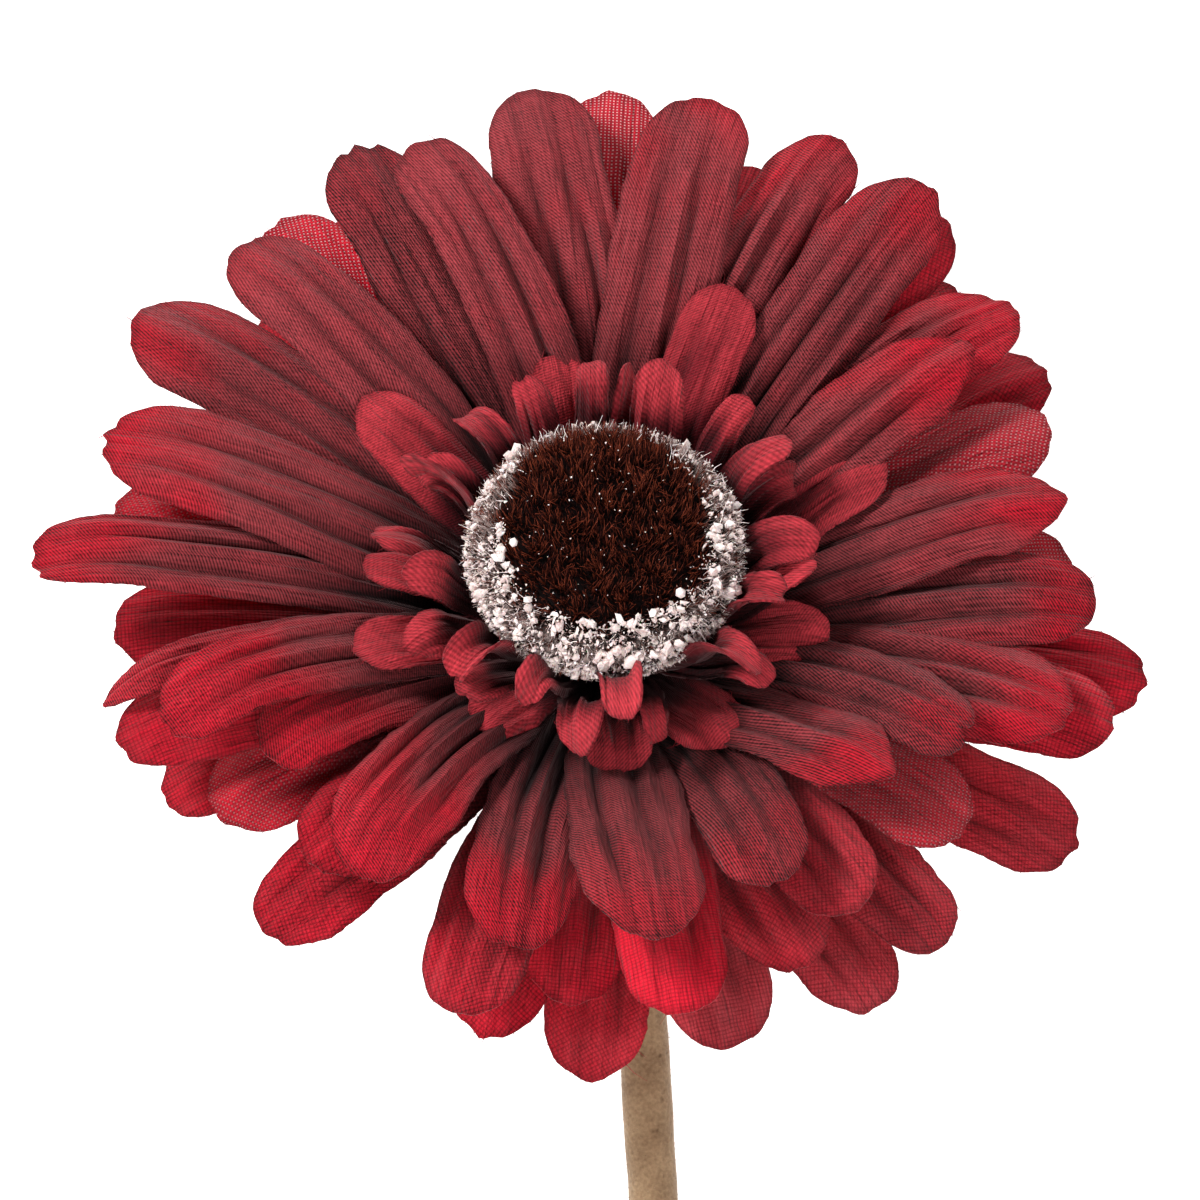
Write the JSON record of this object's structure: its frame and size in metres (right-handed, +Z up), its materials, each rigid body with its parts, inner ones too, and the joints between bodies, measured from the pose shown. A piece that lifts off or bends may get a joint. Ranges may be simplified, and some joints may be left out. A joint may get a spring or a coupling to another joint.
{
  "type": "artificial cut gerbera",
  "caption": "artificial cut gerbera lying down, with layered fabric petal wheels, a frosted fibre centre, a calyx and a flocked wire-cored stem bent flat behind the flower",
  "frame": {"origin": "centre of the bottom of the object's box, on the surface it lies on", "axes": "+Z up from the surface, the stem runs towards -Y, and the flower is at the +Y end and looks up and towards +Y"},
  "size_m": [0.111, 0.4438, 0.0644],
  "materials": {
    "plum_cloth": "satin-weave polyester, airbrushed plum with red tips",
    "red_cloth": "open-weave polyester, dark red",
    "floret_cloth": "ribbed-weave polyester, rose red",
    "tuft_fibre": "dense dark brown bristle fibre",
    "frost_flakes": "white flakes and beads glued to the fibre tips",
    "dark_plastic": "moulded dark brown",
    "calyx_plastic": "moulded tan, dull",
    "stem_flock": "matt flocked coating, beige with dark specks",
    "steel_wire": "bare drawn wire"
  },
  "bodies": {
    "root": {"fibre_tuft": "tuft_fibre", "tuft_cup": "dark_plastic", "floret_wheel_inner": "floret_cloth", "floret_wheel_outer": "floret_cloth", "tongue_wheel": "floret_cloth", "petal_wheel_1": "plum_cloth", "petal_wheel_2": "plum_cloth", "petal_wheel_3": "red_cloth", "petal_wheel_4": "red_cloth", "petal_wheel_5": "red_cloth", "threading_peg": "dark_plastic", "calyx_cup": "calyx_plastic", "stem_sleeve": "stem_flock", "stem_wire": "steel_wire"}
  },
  "joints": []
}
